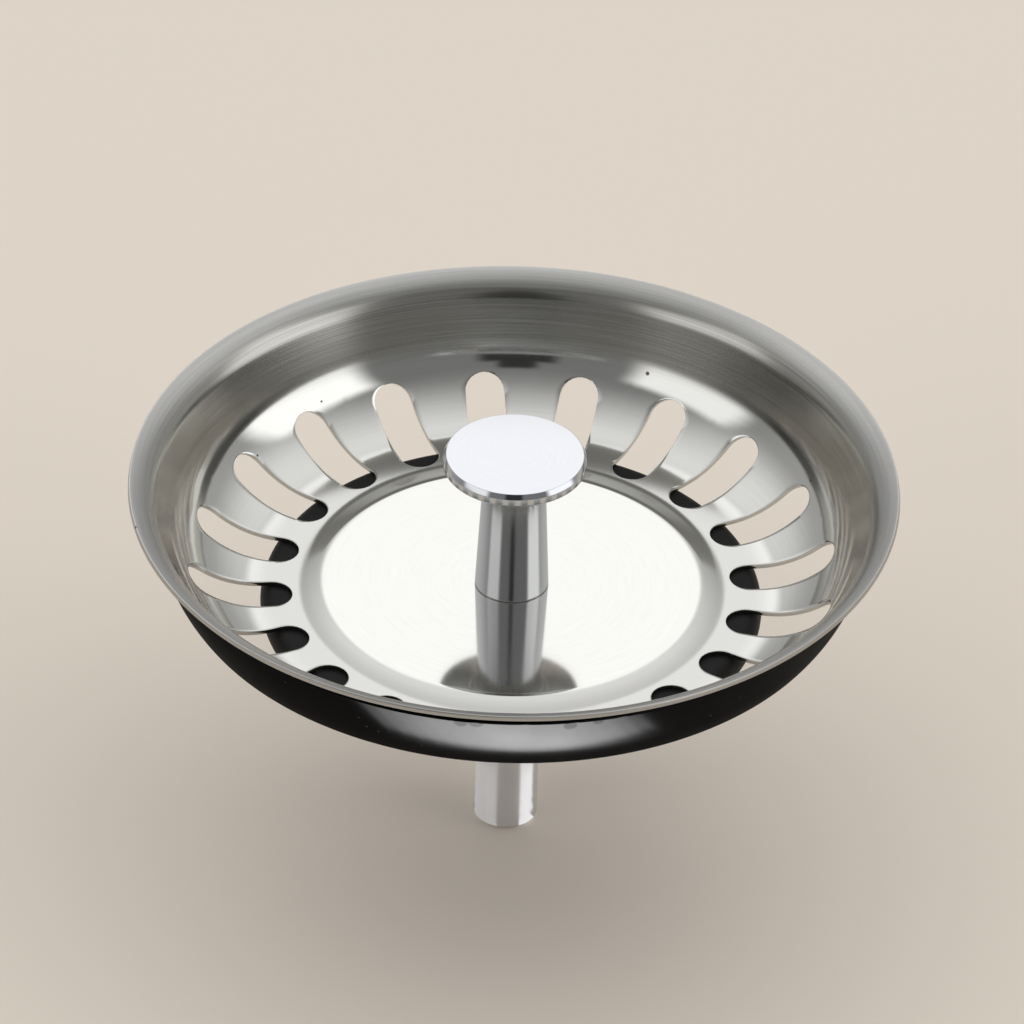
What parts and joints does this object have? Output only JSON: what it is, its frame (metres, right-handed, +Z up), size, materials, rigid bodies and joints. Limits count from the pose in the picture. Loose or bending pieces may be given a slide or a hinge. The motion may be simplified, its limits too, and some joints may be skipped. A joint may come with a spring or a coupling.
{
  "type": "sink drain strainer",
  "caption": "Round pressed-steel sink drain strainer: slotted bowl with a lifting knob, a rubber band under its lip, a rubber seal below and a plain locating pin.",
  "frame": {"origin": "centre of the locating pin's shoulder, where the clamped stack sits on the pin", "axes": "+Z up along the strainer's axis, from the pin to the knob; a slot lies on +X"},
  "size_m": [0.084, 0.084, 0.0489],
  "materials": {
    "pressed_steel": "bright pressed stainless steel with faint circular scratches",
    "knob_chrome": "bright chrome plate",
    "band_rubber": "smooth, slightly glossy",
    "seal_rubber": "matt moulded",
    "washer_steel": "plain turned",
    "pin_chrome": "satin chrome plate"
  },
  "bodies": {
    "root": {"basket": "pressed_steel", "knob": "knob_chrome", "rim_gasket": "band_rubber", "seal": "seal_rubber", "seal_washer": "washer_steel", "stem_pin": "pin_chrome"}
  },
  "joints": []
}
